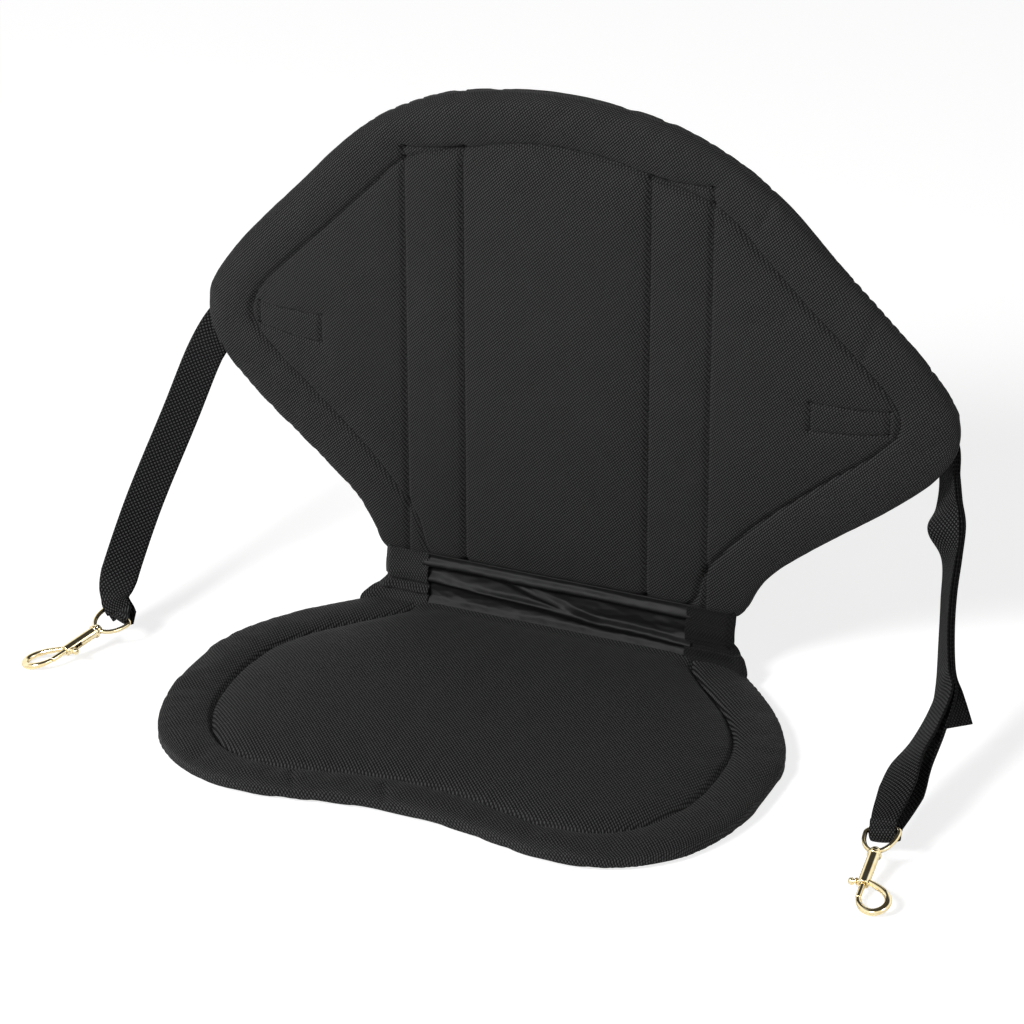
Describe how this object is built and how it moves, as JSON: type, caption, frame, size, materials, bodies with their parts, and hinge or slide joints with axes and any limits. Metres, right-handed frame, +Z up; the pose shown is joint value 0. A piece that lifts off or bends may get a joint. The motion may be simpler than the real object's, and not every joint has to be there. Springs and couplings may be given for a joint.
{
  "type": "kayak seat",
  "caption": "Padded kayak seat with a winged, channelled backrest on a cloth hinge and two webbing side straps that end in brass swivel snap hooks.",
  "frame": {"origin": "middle of the seat's flat underside, level with the floor", "axes": "+Z up, +Y towards the back, +X to the right of the seat as seen from the front"},
  "size_m": [0.6257, 0.3137, 0.389],
  "materials": {
    "twill": "fine diagonal twill, matt",
    "underside": "plain woven, matt",
    "lining": "thin coated cloth, slight sheen",
    "foam": "closed-cell foam",
    "webbing": "ribbed webbing",
    "plastic": "moulded",
    "batten": "sheet",
    "brass": "polished",
    "steel": "drawn wire"
  },
  "bodies": {
    "seat": {"seat_top_cover": "twill", "seat_foam": "foam", "seat_bottom_cover": "underside", "backrest_front_cover": "twill", "backrest_foam": "foam", "backrest_rear_cover": "underside", "left_back_stay": "batten", "right_back_stay": "batten", "hinge_band": "lining", "left_strap": "webbing", "left_strap_tab": "webbing", "left_ladder_lock": "plastic", "right_strap": "webbing", "right_strap_tab": "webbing", "right_ladder_lock": "plastic"},
    "left_eye": {"left_swivel_eye": "brass"},
    "left_hook": {"left_hook_body": "brass", "left_bolt_spring": "steel"},
    "left_bolt": {"left_hook_bolt": "brass"},
    "right_eye": {"right_swivel_eye": "brass"},
    "right_hook": {"right_hook_body": "brass", "right_bolt_spring": "steel"},
    "right_bolt": {"right_hook_bolt": "brass"}
  },
  "joints": [
    {"name": "left_eye_swing", "type": "hinge", "parent": "seat", "child": "left_eye", "pos_m": [-0.2701, 0.0254, 0.0189], "axis": [-0.925, 0.323, 0.2002], "range_deg": [-45, 5]},
    {"name": "left_hook_swivel", "type": "hinge", "parent": "left_eye", "child": "left_hook", "pos_m": [-0.2701, 0.0254, 0.0189], "axis": [-0.3608, -0.912, -0.1954], "continuous": true},
    {"name": "left_bolt_slide", "type": "slide", "parent": "left_hook", "child": "left_bolt", "axis": [0.3608, 0.912, 0.1954], "range_m": [0, 0.008], "stiffness_N_per_m": 250, "springref_m": -0.006, "deforming": ["left_bolt_spring"]},
    {"name": "right_eye_swing", "type": "hinge", "parent": "seat", "child": "right_eye", "pos_m": [0.289, -0.0336, 0.0184], "axis": [-0.9759, -0.0155, -0.2179], "range_deg": [-45, 80]},
    {"name": "right_hook_swivel", "type": "hinge", "parent": "right_eye", "child": "right_hook", "pos_m": [0.289, -0.0336, 0.0184], "axis": [0.0705, -0.9665, -0.2467], "continuous": true},
    {"name": "right_bolt_slide", "type": "slide", "parent": "right_hook", "child": "right_bolt", "axis": [-0.0705, 0.9665, 0.2467], "range_m": [0, 0.008], "stiffness_N_per_m": 250, "springref_m": -0.006, "deforming": ["right_bolt_spring"]}
  ]
}
